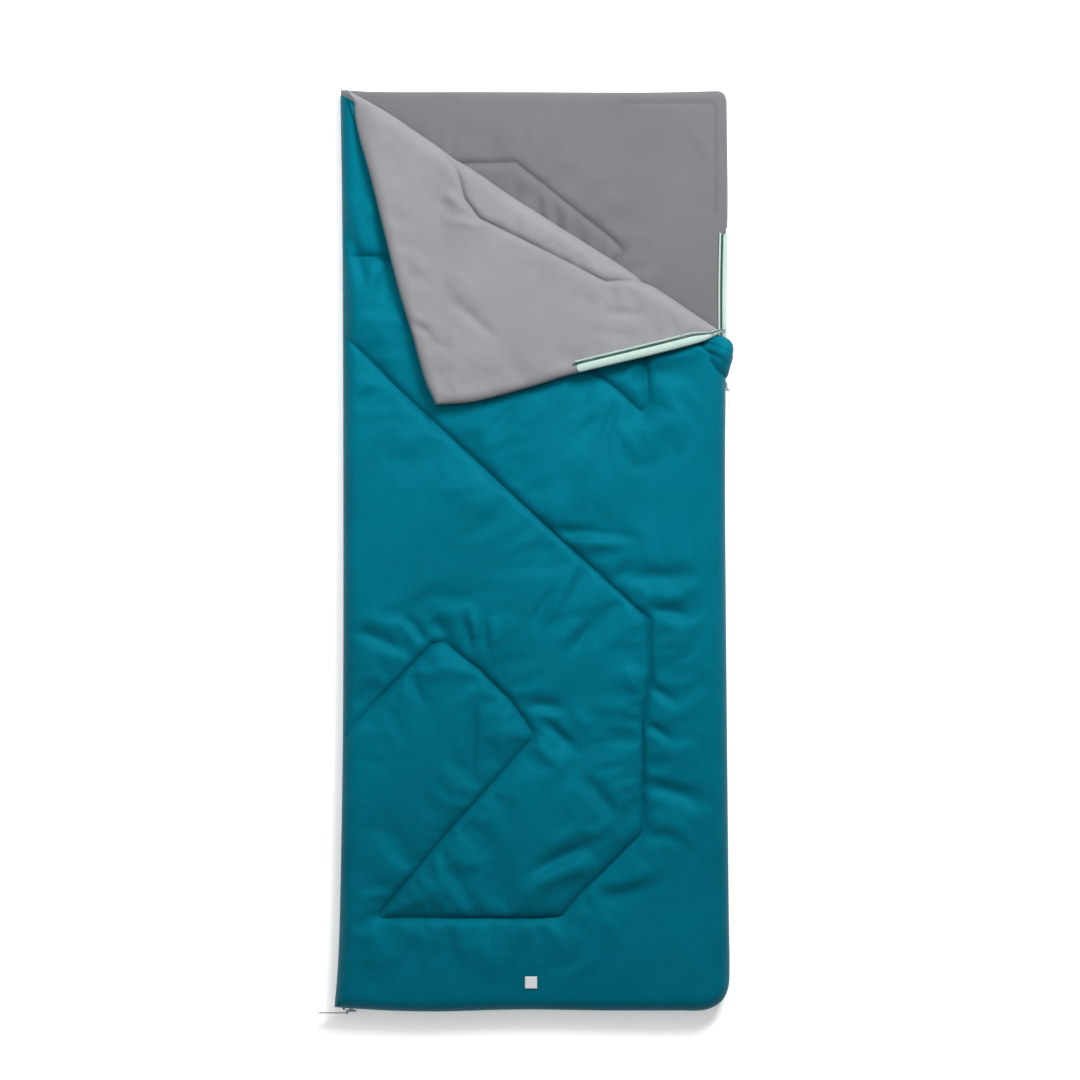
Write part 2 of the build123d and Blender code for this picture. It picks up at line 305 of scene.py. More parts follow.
def curve_through(points, per_span=14):
    """A smooth open curve through a few points."""
    p = np.asarray(points, float)
    p = np.vstack([2 * p[0] - p[1], p, 2 * p[-1] - p[-2]])
    t = np.linspace(0, 1, per_span, endpoint=False)[:, None]
    spans = []
    for a, b, c, d in zip(p, p[1:], p[2:], p[3:]):
        cubic = 2 * b + (c - a) * t + (2 * a - 5 * b + 4 * c - d) * t**2
        spans.append(0.5 * (cubic + (3 * b - a - 3 * c + d) * t**3))
    return np.vstack([*spans, p[-2:-1]])


def rounded_line(points, radii, closed=False):
    """Straight runs joined by arcs; radii is one number or one for each point."""
    p = np.asarray(points, float)
    radii = np.broadcast_to(radii, len(p))
    out = []
    for i in range(len(p)):
        if not closed and i in (0, len(p) - 1):
            out.append(p[i])
            continue
        back, ahead = p[i - 1] - p[i], p[(i + 1) % len(p)] - p[i]
        reach_limit = 0.45 * min(np.linalg.norm(back), np.linalg.norm(ahead))
        u, v = unit(back), unit(ahead)
        half = 0.5 * math.acos(np.clip(u @ v, -1, 1))
        reach = min(radii[i] / math.tan(half), reach_limit)
        if reach < 1e-5:
            out.append(p[i])
            continue
        start, end = p[i] + u * reach, p[i] + v * reach
        for t in np.linspace(0, 1, 9):
            out.append((1 - t) ** 2 * start + 2 * t * (1 - t) * p[i] + t**2 * end)
    return np.array(out)


def distance_to(points, line):
    """Each point's distance to a polyline, and how far along it the nearest place is."""
    best = np.full(len(points), np.inf)
    along = np.zeros(len(points))
    run = 0.0
    for a, b in zip(line, line[1:]):
        d = b - a
        length = np.linalg.norm(d)
        if length < 1e-9:
            continue
        t = np.clip((points - a) @ d / length**2, 0, 1)
        off = np.linalg.norm(points - a - t[:, None] * d, axis=1)
        nearer = off < best
        best[nearer] = off[nearer]
        along[nearer] = (run + t * length)[nearer]
        run += length
    return best, along


def gap_to(points, *lines):
    """Each point's distance to the nearest of several lines."""
    return np.min([distance_to(points, line)[0] for line in lines], axis=0)


def inside(points, ring):
    """Which points lie within a closed outline."""
    x, y = points[:, 0], points[:, 1]
    odd = np.zeros(len(points), bool)
    for (x1, y1), (x2, y2) in zip(ring, np.roll(ring, -1, axis=0)):
        crosses = (y1 > y) != (y2 > y)
        with np.errstate(divide="ignore", invalid="ignore"):
            at = (x2 - x1) * (y - y1) / (y2 - y1) + x1
        odd ^= crosses & (x < at)
    return odd


def value_noise(points, size, seed):
    """Smooth random values from -1 to 1 that change over about size."""
    grid = np.random.default_rng(seed).uniform(-1, 1, (64, 64))
    q = points[:, :2] / size + 17.3
    cell = np.floor(q).astype(int)
    f = q - cell
    f = f * f * (3 - 2 * f)
    i, j = cell[:, 0] % 64, cell[:, 1] % 64
    low = grid[i, j] * (1 - f[:, 0]) + grid[(i + 1) % 64, j] * f[:, 0]
    high = grid[i, (j + 1) % 64] * (1 - f[:, 0]) + grid[(i + 1) % 64, (j + 1) % 64] * f[:, 0]
    return low * (1 - f[:, 1]) + high * f[:, 1]


BESIDE = 3.2 * MM


def unit_rows(v):
    return v / np.maximum(np.linalg.norm(v, axis=1, keepdims=True), 1e-12)


def side_of(line):
    """Unit sideways vectors of a plane line, to its left."""
    t = unit_rows(np.gradient(line[:, :2], axis=0))
    return np.column_stack([-t[:, 1], t[:, 0]])


class Cloth:
    """A triangulated sheet over a closed outline, with its seams as rows of its own points."""

    def __init__(self, outline, seams, step, edge_rows=(0.0015, 0.004, 0.008)):
        ring = spaced(np.vstack([outline, outline[:1]]), step)[:-1]
        self.outline = np.vstack([ring, ring[:1]])
        points, edges, marks = [ring], [], [np.zeros(len(ring), int)]
        n = len(ring)
        edges += [(i, (i + 1) % n) for i in range(n)]
        self.seams = []
        for seam in seams:
            row = spaced(seam, step * 0.8)
            keep = inside(row, ring) & (distance_to(row, self.outline)[0] > step * 0.7)
            row = row[keep]
            edges += [(n + i, n + i + 1) for i in range(len(row) - 1)]
            n += len(row)
            points.append(row)
            marks.append(np.ones(len(row), int))
            self.seams.append(row)
        after = np.roll(ring, -1, axis=0)
        turn = np.sign(np.sum(ring[:, 0] * after[:, 1] - after[:, 0] * ring[:, 1]))
        tangent = unit_rows(np.roll(ring, -1, axis=0) - np.roll(ring, 1, axis=0))
        inward = np.stack([-tangent[:, 1], tangent[:, 0]], axis=1) * turn
        for inset in edge_rows:
            row = ring + inward * inset
            fits = inside(row, ring) & (distance_to(row, self.outline)[0] > inset * 0.8)
            fits &= self.clear_of_seams(row, step * 0.6)
            points.append(row[fits])
        for row in [r for r in self.seams if len(r) > 2]:
            for gap in (BESIDE, -BESIDE):
                near = row + side_of(row) * gap
                fits = inside(near, ring) & (distance_to(near, self.outline)[0] > step * 0.5)
                points.append(near[fits & self.clear_of_seams(near, BESIDE * 0.8)])
        low, high = ring.min(0), ring.max(0)
        rows = np.arange(low[1], high[1], step * 0.866)
        columns = np.arange(low[0], high[0], step)
        grid = [
            np.stack([columns + (k % 2) * step / 2, np.full(len(columns), y)], axis=1)
            for k, y in enumerate(rows)
        ]
        grid = np.vstack(grid)
        grid += RNG.uniform(-0.12, 0.12, grid.shape) * step
        fits = inside(grid, ring) & (distance_to(grid, self.outline)[0] > max(edge_rows) + step * 0.5)
        grid = grid[fits]
        grid = grid[self.clear_of_seams(grid, BESIDE + step * 0.55)]
        points.append(grid)
        flat = np.vstack(points)
        made = delaunay_2d_cdt([Vector(p) for p in flat], edges, [list(range(len(ring)))], 1, 1e-6)
        self.flat = np.array([v[:] for v in made[0]])
        self.faces = np.array([f for f in made[2] if len(f) == 3])
        self.edge = distance_to(self.flat, self.outline)[0]
        self.seam = np.full(len(self.flat), 1.0)
        for row in self.seams:
            if len(row) > 1:
                self.seam = np.minimum(self.seam, distance_to(self.flat, row)[0])

    def clear_of_seams(self, points, gap):
        fits = np.ones(len(points), bool)
        for row in self.seams:
            if len(row) > 1:
                fits &= distance_to(points, row)[0] > gap
        return fits


# ---------------- meshes
def make_mesh(name, points, faces, material):
    mesh = bpy.data.meshes.new(name)
    mesh.from_pydata([tuple(p) for p in points], [], [tuple(int(i) for i in f) for f in faces])
    mesh.validate()
    mesh.materials.append(material)
    mesh.polygons.foreach_set("use_smooth", [True] * len(mesh.polygons))
    mesh.update()
    made = bpy.data.objects.new(name, mesh)
    bpy.context.scene.collection.objects.link(made)
    return made


def coordinates(obj):
    co = np.empty(len(obj.data.vertices) * 3, np.float32)
    obj.data.vertices.foreach_get("co", co)
    return co.reshape(-1, 3).astype(float)


def set_coordinates(obj, co):
    obj.data.vertices.foreach_set("co", np.asarray(co, np.float32).ravel())
    obj.data.update()


def weight_group(obj, name, weights):
    """A vertex group from one weight for each point."""
    group = obj.vertex_groups.new(name=name)
    levels = np.round(weights, 2)
    for level in np.unique(levels):
        group.add(np.nonzero(levels == level)[0].tolist(), float(level), "REPLACE")


def calmed(obj, values, fixed):
    """Each point's value averaged with its neighbours', some points kept as they are."""
    ends = np.empty(len(obj.data.edges) * 2, np.int32)
    obj.data.edges.foreach_get("vertices", ends)
    a, b = ends.reshape(-1, 2).T
    count = np.bincount(ends, minlength=len(values))[:, None]
    total = np.zeros_like(values)
    for axis in range(3):
        total[:, axis] += np.bincount(a, values[b, axis], len(values))
        total[:, axis] += np.bincount(b, values[a, axis], len(values))
    return np.where(fixed[:, None], values, (values + total) / (count + 1))


LIGHT_CLOTH = {
    "quality": 5,
    "mass": 0.15,
    "air_damping": 3.0,
    "tension_stiffness": 12,
    "compression_stiffness": 12,
    "shear_stiffness": 4,
    "bending_stiffness": 1.0,
    "pin_stiffness": 1.0,
}
HELD = 0.99


def wrinkle(obj, hold, slack, amount, cap, frames):
    """Lets cloth that is cut larger than its place settle into puckers.

    hold is how firmly each point stays and slack how much of the extra cloth it has,
    both from 0 to 1; no point moves further than cap.
    """
    start = coordinates(obj)
    weight_group(obj, "hold", hold)
    weight_group(obj, "taut", 1 - slack)
    modifier = obj.modifiers.new("settle", "CLOTH")
    settings = modifier.settings
    for key, value in LIGHT_CLOTH.items():
        setattr(settings, key, value)
    settings.vertex_group_mass = "hold"
    settings.vertex_group_shrink = "taut"
    settings.shrink_min = -amount
    settings.shrink_max = 0.0
    settings.effector_weights.gravity = 0.0
    modifier.collision_settings.use_collision = False
    modifier.point_cache.frame_start = 1
    modifier.point_cache.frame_end = frames
    scene = bpy.context.scene
    for step in range(1, frames + 1):
        scene.frame_set(step)
    shown = obj.evaluated_get(bpy.context.evaluated_depsgraph_get())
    end = np.empty(len(start) * 3, np.float32)
    shown.data.vertices.foreach_get("co", end)
    end = end.reshape(-1, 3).astype(float)
    obj.modifiers.remove(modifier)
    obj.vertex_groups.clear()
    scene.frame_set(1)
    moved = calmed(obj, end - start, hold > HELD)
    far = np.linalg.norm(moved, axis=1, keepdims=True)
    set_coordinates(obj, start + moved * np.minimum(1, cap / np.maximum(far, 1e-9)))


def thicken(obj, thickness):
    """Gives a cloth surface its thickness, inwards, as a closed mesh."""
    modifier = obj.modifiers.new("thickness", "SOLIDIFY")
    modifier.thickness = thickness
    modifier.offset = -1.0
    shown = obj.evaluated_get(bpy.context.evaluated_depsgraph_get())
    obj.data = bpy.data.meshes.new_from_object(shown)
    obj.modifiers.clear()
    return obj


# ---------------- driving places, from the frame
record = frame["record"]
fold_joint = next(j for j in record["behaviour"]["joints"] if j["name"] == "flap_fold")
AXIS_POINT = np.array(fold_joint["pos_m"], float)
AXIS_UP = AXIS_POINT[2]
AXIS_RUN = -np.array(fold_joint["axis"], float)[:2]
AXIS_ACROSS = np.array([-AXIS_RUN[1], AXIS_RUN[0]])
BOTTOM_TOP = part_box("bottom_lining")[1][2]
TOP_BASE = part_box("top_lining")[0][2]
TOP_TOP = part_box("top_outer_shell")[1][2]
FLAP_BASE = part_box("flap_outer_shell")[0][2]
FLAP_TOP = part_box("flap_lining")[1][2]
ZIP_MID = (BOTTOM_TOP + TOP_BASE) / 2
ROLL_R = FLAP_TOP - AXIS_UP
HEM_Z = BOTTOM_TOP - 7 * MM
FLAP_HEM_Z = FLAP_TOP - 8 * MM
ZIP_TOP_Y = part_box("zip_tape_lower_side")[1][1]
ZIP_OPEN_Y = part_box("zip_tape_upper_side")[1][1]

# Outline of the bag as it lies, from the foot-left corner round by the foot (mm)
FOOT_LEFT = (-411, -946)
FOOT_EDGE = [FOOT_LEFT, (-300, -953), (-190, -955), (-25, -951), (150, -953), (300, -953)]
RIGHT_EDGE = [(407, -850), (405, -720), (401, -310), (398, 100), (399, 372)]
RIGHT_UPPER = [(399, 372), (399, 560), (402, 720), (400, 929)]
HEAD_EDGE = [(383, 951), (230, 948), (-100, 949), (-310, 949), (-399, 953)]
LEFT_EDGE = [(-399, 953), (-395, 700), (-393, 330), (-393, -300), (-399, -720), (-404, -860), FOOT_LEFT]
HEAD_CORNER = (399, 951)

# The turned-back corner as it lies (mm): along its fold, its head edge and its zip edge
FOLD_START = (-387, 950)
FOLD_END = (386, 446)
FLAP_TIP = (-198, 299)
FLAP_HEAD_EDGE = [FOLD_START, (-337, 785), (-306, 661), (-275, 537), (-244, 434), (-221, 352)]
FLAP_HEAD_EDGE += [FLAP_TIP]
FLAP_ZIP_EDGE = [FLAP_TIP, (-130, 304), (-68, 318), (14, 341), (76, 360), (221, 395), (304, 416), (352, 430)]
FLAP_ZIP_EDGE += [FOLD_END]
FLAP_ZIP_LENGTH = 0.304

# Quilt lines (mm)
BODY_QUILT = [(-400, 455), (-275, 330), (14, 62), (238, -142), (243, -268), (227, -351), (228, -582)]
BODY_QUILT += [(180, -630), (97, -712), (60, -757), (14, -760), (-322, -760), (-275, -702), (-171, -578)]
BODY_QUILT += [(-68, -465), (4, -384), (-47, -310), (-109, -248), (-185, -190), (-209, -196)]
BODY_QUILT += [(-339, -330), (-400, -400)]
BODY_RADII = [0, 200, 200, 26, 60, 60, 26, 40, 40, 22, 10, 6, 60, 80, 80, 22, 60, 60, 22, 10, 60, 0]
HEAD_QUILT_LOW = [(-400, 607), (-120, 605), (118, 382), (226, 282), (237, 300), (237, 362), (228, 425)]
HEAD_QUILT = [(-400, 797), (-171, 800), (-37, 805), (168, 642), (186, 618), (164, 592), (205, 530)]
HEAD_QUILT += [(236, 361), (234, 276), (118, 382), (-120, 605), (-400, 607)]
FLAP_QUILT = [(-165, 800), (-155, 774), (-140, 723), (-109, 681), (-6, 630), (149, 551), (200, 553)]
FLAP_QUILT += [(235, 562)]
HEM_LINE = [(190, 927), (372, 927), (379, 918), (378, 700)]


def smooth_edge(points, per_span=10):
    return curve_through(mm(points), per_span)


def corner_arc(before, corner, after):
    """A round corner between the ends of two edges."""
    t = np.linspace(0, 1, 12)[1:-1, None]
    a, b, c = before, mm(corner), after
    return (1 - t) ** 2 * a + 2 * t * (1 - t) * b + t**2 * c


foot_edge = smooth_edge(FOOT_EDGE)
right_edge = smooth_edge(RIGHT_EDGE)
right_upper = smooth_edge(RIGHT_UPPER)
head_edge = smooth_edge(HEAD_EDGE)
left_edge = smooth_edge(LEFT_EDGE)
FOOT_ROUND = mm([(354, -952), (389, -935), (405, -903)])
foot_corner = curve_through(np.vstack([foot_edge[-1:], FOOT_ROUND, right_edge[:1]]), 8)[1:-1]
head_corner = corner_arc(right_upper[-1], HEAD_CORNER, head_edge[0])
zip_edge = np.vstack([foot_edge, foot_corner, right_edge])
panel_ring = np.vstack([zip_edge, right_upper[1:], head_corner, head_edge, left_edge[1:-1]])

# Cut edge of the top panel, under the turned-back corner
CUT_INSET = 0.5 * MM
HALF_FOLD = 0.4641
cut_a = AXIS_POINT[:2] - AXIS_RUN * HALF_FOLD - AXIS_ACROSS * CUT_INSET
cut_b = AXIS_POINT[:2] + AXIS_RUN * HALF_FOLD - AXIS_ACROSS * CUT_INSET
cut_dir = unit(cut_b - cut_a)
cut_b = cut_a + cut_dir * ((right_edge[-1, 0] - cut_a[0]) / cut_dir[0])
cut_start = cut_a + cut_dir * ((left_edge[2, 0] - cut_a[0]) / cut_dir[0])
left_below_cut = left_edge[left_edge[:, 1] < cut_start[1]]
top_ring = np.vstack([zip_edge[zip_edge[:, 1] < cut_b[1]], [cut_b], [cut_start], left_below_cut[:-1]])
cut_line = np.array([cut_b, cut_start])

flap_head_edge = smooth_edge(FLAP_HEAD_EDGE)
flap_zip_edge = smooth_edge(FLAP_ZIP_EDGE)

body_quilt = rounded_line(mm(BODY_QUILT), np.array(BODY_RADII) * MM)
head_quilt_low = rounded_line(mm(HEAD_QUILT_LOW), 14 * MM)
head_quilt = rounded_line(mm(HEAD_QUILT), 14 * MM)
flap_quilt = rounded_line(mm(FLAP_QUILT), 20 * MM)
hem_line = rounded_line(mm(HEM_LINE), 12 * MM)


# Loose folds in the cloth (mm): from, to, width, height; a ridge is above 0 and a valley below
TOP_FOLDS = [
    (-37, 301, -82, 240, 13, -5), (23, 323, -32, 251, 20, 3), (134, 279, 95, 229, 11, -4),
    (167, 290, 150, 240, 10, -4), (51, 202, 134, 168, 35, 5), (40, 45, 211, 25, 11, -5),
    (68, 19, 189, 5, 16, 3), (185, -47, 360, -58, 17, -7), (200, -14, 344, -17, 18, 3),
    (245, -119, 330, -138, 10, -6), (250, -92, 330, -103, 14, 3), (240, -274, 300, -322, 10, -6),
    (236, -350, 285, -396, 9, -6), (232, -484, 362, -520, 14, -6), (232, -560, 350, -570, 20, 3),
    (51, -69, -10, -163, 12, -5), (84, -36, 23, -158, 14, 5), (128, -141, 79, -213, 11, -6),
    (95, -136, 51, -202, 13, 5), (150, -125, 128, -202, 9, -4), (189, -230, 211, -302, 13, 5),
    (-209, -136, -176, -180, 13, -8), (-132, -125, -109, -190, 11, 5), (-145, -136, -126, -200, 9, -6),
    (-87, -130, -71, -210, 12, 5), (-108, -140, -92, -215, 8, -4), (-275, -130, -214, -190, 11, -6),
    (-369, -163, -262, -206, 13, -6), (-364, -136, -259, -165, 15, 4), (-15, -314, 66, -326, 14, -9),
    (12, -346, 94, -416, 12, -9), (-6, -392, 52, -440, 16, 5), (79, -329, 124, -374, 17, 4),
    (-120, -313, -130, -470, 9, -4), (-143, -318, -150, -455, 13, 4), (-248, -252, -232, -324, 11, -4),
    (56, -470, 150, -606, 24, 8), (96, -452, 176, -560, 14, -7), (-27, -702, 140, -632, 18, 7),
    (-10, -668, 130, -598, 13, -8), (20, -620, 110, -560, 14, 4), (118, -730, 262, -690, 18, -5),
    (-300, -560, -250, -640, 16, -4), (-180, -640, -120, -740, 14, -4), (-389, 690, -330, 500, 14, -7),
]
# Where the turned-back corner props the top panel up, beside its zip edge
TUCK_LINE = [(215, 381), (300, 403), (352, 419), (392, 432)]
TUCK_RISE = 8 * MM
TUCK_WIDTH = 17 * MM
HEAD_FOLDS = [
    (-37, 760, -32, 690, 10, -5), (7, 740, 24, 655, 10, -6), (40, 722, 52, 636, 10, -6),
    (92, 676, 102, 600, 10, -5), (66, 690, 80, 620, 11, 4), (22, 730, 38, 650, 10, 4),
    (150, 640, 120, 560, 11, -3), (330, 880, 372, 800, 12, 3),
]
FLAP_FOLDS = [
    (-176, 515, -104, 470, 13, -4), (-176, 568, -126, 520, 14, 5), (-228, 466, -150, 425, 14, 4),
    (-154, 495, -70, 432, 10, -4), (-184, 740, -131, 690, 9, 4), (-178, 676, -112, 664, 8, 4),
    (-200, 720, -160, 690, 9, -3), (-260, 470, -200, 440, 10, -3), (-140, 400, -60, 380, 16, 4),
    (120, 470, 230, 452, 12, 4), (150, 490, 240, 478, 10, -3), (-250, 600, -215, 570, 16, 3),
]


def folds(points, table):
    """Height that the loose folds add at each place."""
    total = np.zeros(len(points))
    for x1, y1, x2, y2, width, tall in table:
        a, b = mm((x1, y1)), mm((x2, y2))
        t = (points - a) @ (b - a) / np.sum((b - a) ** 2)
        nearest = a + np.clip(t, 0, 1)[:, None] * (b - a)
        off = np.linalg.norm(points - nearest, axis=1)
        fade = np.clip(1.15 * np.sin(math.pi * np.clip(t, 0.06, 0.94)), 0, 1)
        total += 1.2 * tall * MM * fade * np.exp(-((off / (width * MM)) ** 2))
    return total


def groove(distance, depth, width):
    """How far the cloth is pulled in beside a seam: a crisp valley with soft shoulders."""
    valley = np.exp(-distance / (0.42 * width))
    shoulder = np.exp(-((distance / (1.6 * width)) ** 1.5))
    return depth * (0.55 * valley + 0.45 * shoulder)


def pillow(distance, low, high, reach):
    """A rounded edge that rises from low to high over reach."""
    t = np.clip(1 - distance / reach, 0, 1)
    return low + (high - low) * np.sqrt(1 - t * t)


def swell(points, amount, seed):
    """Slow unevenness of the filling."""
    broad = value_noise(points, 0.16, seed) + 0.5 * value_noise(points, 0.07, seed + 1)
    return amount * broad


def smooth(t):
    t = np.clip(t, 0, 1)
    return t * t * (3 - 2 * t)


def belongs(piece, body, slot, *nodes):
    """Rides a piece on its body, if it has one, and hides the parts that it stands for; slot is not used."""
    if body:
        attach(piece, body)
    if nodes:
        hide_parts(*nodes)
    return piece


def quilted(piece, body, nodes, slot):
    """A cloth piece, ridden on its body, with the parts that it stands for hidden."""
    belongs(piece, body, slot, *nodes)
    return piece


# ---------------- top panel
FINE = 7.5 * MM
COARSE = 14 * MM
CLOTH_THICK = 0.9 * MM
RIM_UP = ZIP_MID + 6.5 * MM
RIM_DOWN = ZIP_MID - 6.5 * MM
flap_print = np.vstack([flap_head_edge, flap_zip_edge[1:]])


top = Cloth(top_ring, [body_quilt, head_quilt_low], FINE)
edge = gap_to(top.flat, zip_edge, left_edge)
cut = gap_to(top.flat, cut_line)
under = np.where(inside(top.flat, flap_print), 0.0, gap_to(top.flat, flap_print))
free = smooth(under / (70 * MM))
sewn = groove(top.seam, 17 * MM, 20 * MM) * (0.3 + 0.7 * smooth(edge / (80 * MM)))
relief = 6 * MM * free - sewn
loose_cloth = swell(top.flat, 2.0 * MM, 3) + folds(top.flat, TOP_FOLDS)
relief += loose_cloth * np.clip(under / (30 * MM), 0.15, 1)
relief = np.minimum(relief, 1 * MM + 12 * MM * free)
relief += TUCK_RISE * np.exp(-((gap_to(top.flat, mm(TUCK_LINE)) / TUCK_WIDTH) ** 2))
patch_low, patch_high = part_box("sewn_patch")
patch_mid = (np.array(patch_low) + np.array(patch_high)) / 2
by_patch = np.exp(-(np.linalg.norm(top.flat - patch_mid[:2], axis=1) / (26 * MM)) ** 2)
height = pillow(edge, RIM_UP, TOP_TOP - 1 * MM + relief, 30 * MM)
height = np.where(cut < 12 * MM, np.minimum(height, TOP_TOP - 0.5 * MM), height)
height = np.maximum(height, RIM_UP + 6.5 * MM * smooth(edge / (14 * MM)))
top_shell = make_mesh("top_shell", at_height(top.flat, height), top.faces, shell_fabric)
near_seam = np.exp(-((top.seam / (75 * MM)) ** 2))
near_seam *= 0.3 + 0.7 * smooth(0.5 + value_noise(top.flat, 0.11, 5))
firm = 0.025 + 0.3 * np.exp(-edge / (22 * MM)) + 0.5 * by_patch + 0.2 * np.exp(-top.seam / (4 * MM))
firm = np.clip(firm + 0.10 * (1 - near_seam), 0, 0.95)
firm[(top.seam < 1e-4) | (edge < 4 * MM) | (cut < 4 * MM)] = 1.0
loose = np.clip(near_seam * smooth(edge / (50 * MM)) * (1 - by_patch), 0, 1)
wrinkle(top_shell, firm, loose, amount=0.06, cap=7 * MM, frames=18)

under_top = Cloth(top_ring, [body_quilt, head_quilt_low], COARSE)
edge = gap_to(under_top.flat, zip_edge, left_edge)
height = TOP_BASE + 1.5 * MM + groove(under_top.seam, 2 * MM, 15 * MM)
height += swell(under_top.flat, 0.8 * MM, 9)
height = RIM_UP + (height - RIM_UP) * smooth(edge / (20 * MM))
under_points = at_height(under_top.flat, height)
top_lining = make_mesh("top_lining_cloth", under_points, under_top.faces[:, ::-1], lining_fabric)

# ---------------- bottom panel
bottom = Cloth(panel_ring, [head_quilt, body_quilt, hem_line], 8.5 * MM)
closed_edge = gap_to(bottom.flat, zip_edge, left_edge)
head_run = np.vstack([right_upper, head_corner, head_edge])
open_edge = gap_to(bottom.flat, head_run)
quilt_gap = gap_to(bottom.flat, head_quilt, body_quilt)
hem_gap = gap_to(bottom.flat, hem_line)
relief = 2 * MM - groove(quilt_gap, 8 * MM, 8 * MM) - 2.5 * MM * np.exp(-hem_gap / (4 * MM))
relief += swell(bottom.flat, 1.2 * MM, 21)
relief += folds(bottom.flat, HEAD_FOLDS)
crown = BOTTOM_TOP + np.minimum(relief, 6 * MM)
height = pillow(open_edge, HEM_Z, crown, 16 * MM)
closed_height = RIM_DOWN + (crown - RIM_DOWN) * smooth(closed_edge / (16 * MM))
height = np.where(closed_edge < open_edge, np.minimum(height, closed_height), height)
bottom_points = at_height(bottom.flat, height)
# The bottom lining takes the darkened copy of the lining cloth: painted shade
bottom_lining = make_mesh("bottom_lining_cloth", bottom_points, bottom.faces, lining_fabric_painted_shade)
near_seam = np.exp(-((quilt_gap / (45 * MM)) ** 2)) * smooth(bottom.edge / (40 * MM))
firm = 0.06 + 0.3 * np.exp(-bottom.edge / (20 * MM)) + 0.12 * (1 - near_seam)
firm[(bottom.seam < 1e-4) | (bottom.edge < 4 * MM)] = 1.0
wrinkle(bottom_lining, firm, near_seam, amount=0.04, cap=4 * MM, frames=12)

below = Cloth(panel_ring, [body_quilt], COARSE, (0.0012, 0.004, 0.009, 0.015))
closed = gap_to(below.flat, zip_edge, left_edge)
rim = np.where(closed <= below.edge + 1 * MM, RIM_DOWN, HEM_Z)
height = pillow(below.edge, rim, 0.6 * MM, 24 * MM)
height += np.where(below.edge > 26 * MM, groove(below.seam, 3 * MM, 10 * MM), 0)
below_points = at_height(below.flat, height)
bottom_shell = make_mesh("bottom_shell", below_points, below.faces[:, ::-1], shell_fabric)

# ---------------- turned-back corner
fold_a, fold_b = mm(FOLD_START), mm(FOLD_END)
RUN = unit(fold_b - fold_a)
OUT = np.array([-RUN[1], RUN[0]])
FOLD_LONG = np.linalg.norm(fold_b - fold_a)
roll_origin = fold_a - OUT * ROLL_R
LEFT_TAPER = 130 * MM
RIGHT_TAPER = 70 * MM
LEFT_PINCH, RIGHT_PINCH = 0.34, 0.62


def roll_radius(along):
    """The roll is full in the middle and pinched at both ends."""
    left = LEFT_PINCH + (1 - LEFT_PINCH) * smooth(along / LEFT_TAPER)
    right = RIGHT_PINCH + (1 - RIGHT_PINCH) * smooth((FOLD_LONG - along) / RIGHT_TAPER)
    return ROLL_R * np.minimum(left, right)


def unroll(points):
    """Plane places on the corner to (along the fold, away from the roll's middle line)."""
    q = np.asarray(points) - roll_origin
    along, away = q @ RUN, -(q @ OUT)
    on_roll = np.clip(-away / ROLL_R, 0, 1)
    return np.column_stack([along, np.where(away < 0, -ROLL_R * np.arcsin(on_roll), away)])


def roll_up(flat, lift):
    """Back into space: flat on top, round the roll, and on under it, raised by lift."""
    along, away = flat[:, 0], flat[:, 1]
    turn = np.clip(-away / ROLL_R, 0, math.pi)
    past = np.maximum(-away - math.pi * ROLL_R, 0)
    own = roll_radius(along)
    radius = own + lift
    shift = (ROLL_R - own) * np.exp(-np.maximum(away, 0) / (25 * MM))
    out = np.where(away >= 0, -away, radius * np.sin(turn) - past) + shift
    up = np.where(away >= 0, radius, radius * np.cos(turn))
    place = roll_origin + along[:, None] * RUN + out[:, None] * OUT
    return np.column_stack([place, AXIS_UP + up])


ROLL_END = math.pi * ROLL_R
TAIL = 14 * MM
rim_line = unroll(np.vstack([flap_head_edge[1:], flap_zip_edge[1:]]))
# Slanted ends of the cloth round the roll: inset along the fold (mm), and how far round
LEFT_SLANT = [(36, -ROLL_END - TAIL), (28, -ROLL_END), (10, -0.75 * ROLL_END), (1, -0.5 * ROLL_END)]
RIGHT_SLANT = [(2, -0.8 * ROLL_END), (8, -ROLL_END), (12, -ROLL_END - TAIL)]
last = rim_line[-1, 0]
left_end = [(inset * MM, away) for inset, away in LEFT_SLANT]
right_end = [(last - inset * MM, away) for inset, away in RIGHT_SLANT]
flap_ring = np.vstack([left_end, rim_line, right_end])
flap = Cloth(flap_ring, [unroll(flap_quilt)], 6.5 * MM)
hem = gap_to(flap.flat, rim_line)
plane = roll_up(flap.flat, 0.0)[:, :2]
on_top = flap.flat[:, 1] > 0
relief = 3.5 * MM - groove(flap.seam, 9 * MM, 10 * MM) + swell(flap.flat, 1.8 * MM, 33)
relief += folds(plane, FLAP_FOLDS) * on_top
relief = np.clip(relief, -8 * MM, 7 * MM)
relief = np.minimum(relief, 0.3 * roll_radius(flap.flat[:, 0]))
relief *= smooth(flap.flat[:, 0] / (70 * MM))
lift = np.where(on_top, pillow(hem, -8 * MM, relief, 17 * MM), relief)
lift = np.where(flap.flat[:, 1] < -0.8 * ROLL_END, np.minimum(lift, 0), lift)
flap_cloth = make_mesh("flap_lining_cloth", roll_up(flap.flat, lift), flap.faces, lining_fabric)
near_seam = np.exp(-((flap.seam / (45 * MM)) ** 2))
near_seam += 0.8 * np.exp(-((hem - 30 * MM) / (18 * MM)) ** 2)
near_seam = np.clip(near_seam, 0, 1) * smooth((flap.flat[:, 1] + 15 * MM) / (30 * MM))
firm = 0.05 + 0.3 * np.exp(-hem / (12 * MM)) + 0.10 * (1 - near_seam)
firm[(flap.seam < 1e-4) | (hem < 4 * MM) | (flap.edge < 2 * MM)] = 1.0
wrinkle(flap_cloth, firm, near_seam, amount=0.04, cap=5 * MM, frames=14)


